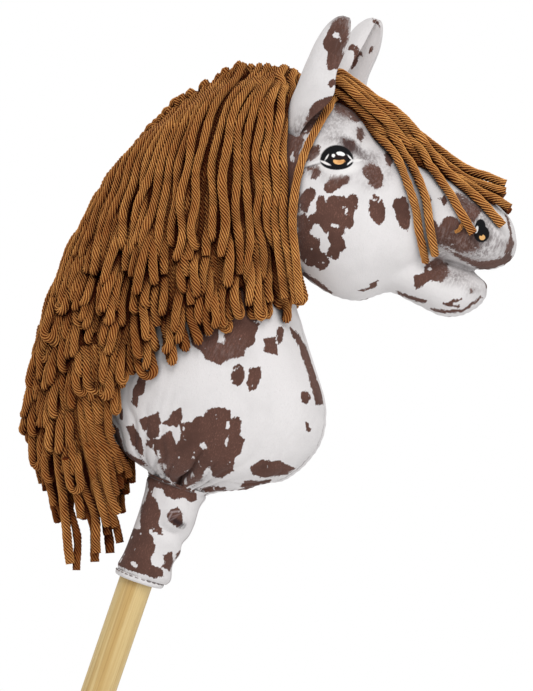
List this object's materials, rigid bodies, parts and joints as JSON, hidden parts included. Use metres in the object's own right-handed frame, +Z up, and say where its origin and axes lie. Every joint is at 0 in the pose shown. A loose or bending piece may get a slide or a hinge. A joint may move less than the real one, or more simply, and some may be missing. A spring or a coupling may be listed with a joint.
{
  "type": "hobby horse",
  "caption": "Stuffed plush horse head on a plain wooden stick, with printed coat patches, yarn mane and forelock, upright ears and a gathered sleeve over the stick.",
  "frame": {"origin": "centre of the stick's lower end face", "axes": "+Z up along the stick, +X the way the horse faces, +Y towards the horse's left side"},
  "size_m": [0.3202, 0.1314, 0.9811],
  "materials": {
    "pine": "sanded, unvarnished",
    "plush": "short-pile plush with printed brown patches",
    "plush_lining": "short-pile plush",
    "stuffing": "loose fibre filling",
    "felt": "matte",
    "thread": "twisted",
    "steel": "plain",
    "yarn": "thick plied yarn"
  },
  "bodies": {
    "root": {"stick": "pine", "stick_end_pad": "felt", "sleeve": "plush", "sleeve_hem": "plush", "gather_thread": "thread", "sleeve_tack": "steel", "neck_filling": "stuffing", "neck_panel_right": "plush", "neck_panel_left": "plush", "head_filling": "stuffing", "head_panel_right": "plush", "head_panel_left": "plush", "jaw_filling": "stuffing", "jaw_cover": "plush", "ear_right": "plush", "ear_left": "plush", "ear_lining_right": "plush_lining", "ear_lining_left": "plush_lining", "mane_tape": "thread", "mane_right_1": "yarn", "mane_right_2": "yarn", "mane_right_3": "yarn", "mane_right_4": "yarn", "mane_right_5": "yarn", "mane_right_6": "yarn", "mane_right_7": "yarn", "mane_right_8": "yarn", "mane_right_9": "yarn", "mane_left_1": "yarn", "mane_left_2": "yarn", "mane_left_3": "yarn", "mane_left_4": "yarn", "mane_left_5": "yarn", "mane_left_6": "yarn", "forelock_bundle": "yarn", "cheek_strand_right": "yarn", "cheek_strand_left": "yarn", "forelock_strand_right_1": "yarn", "forelock_strand_right_2": "yarn", "forelock_strand_right_3": "yarn", "forelock_strand_right_4": "yarn", "forelock_strand_left_1": "yarn", "forelock_strand_left_2": "yarn"}
  },
  "joints": []
}
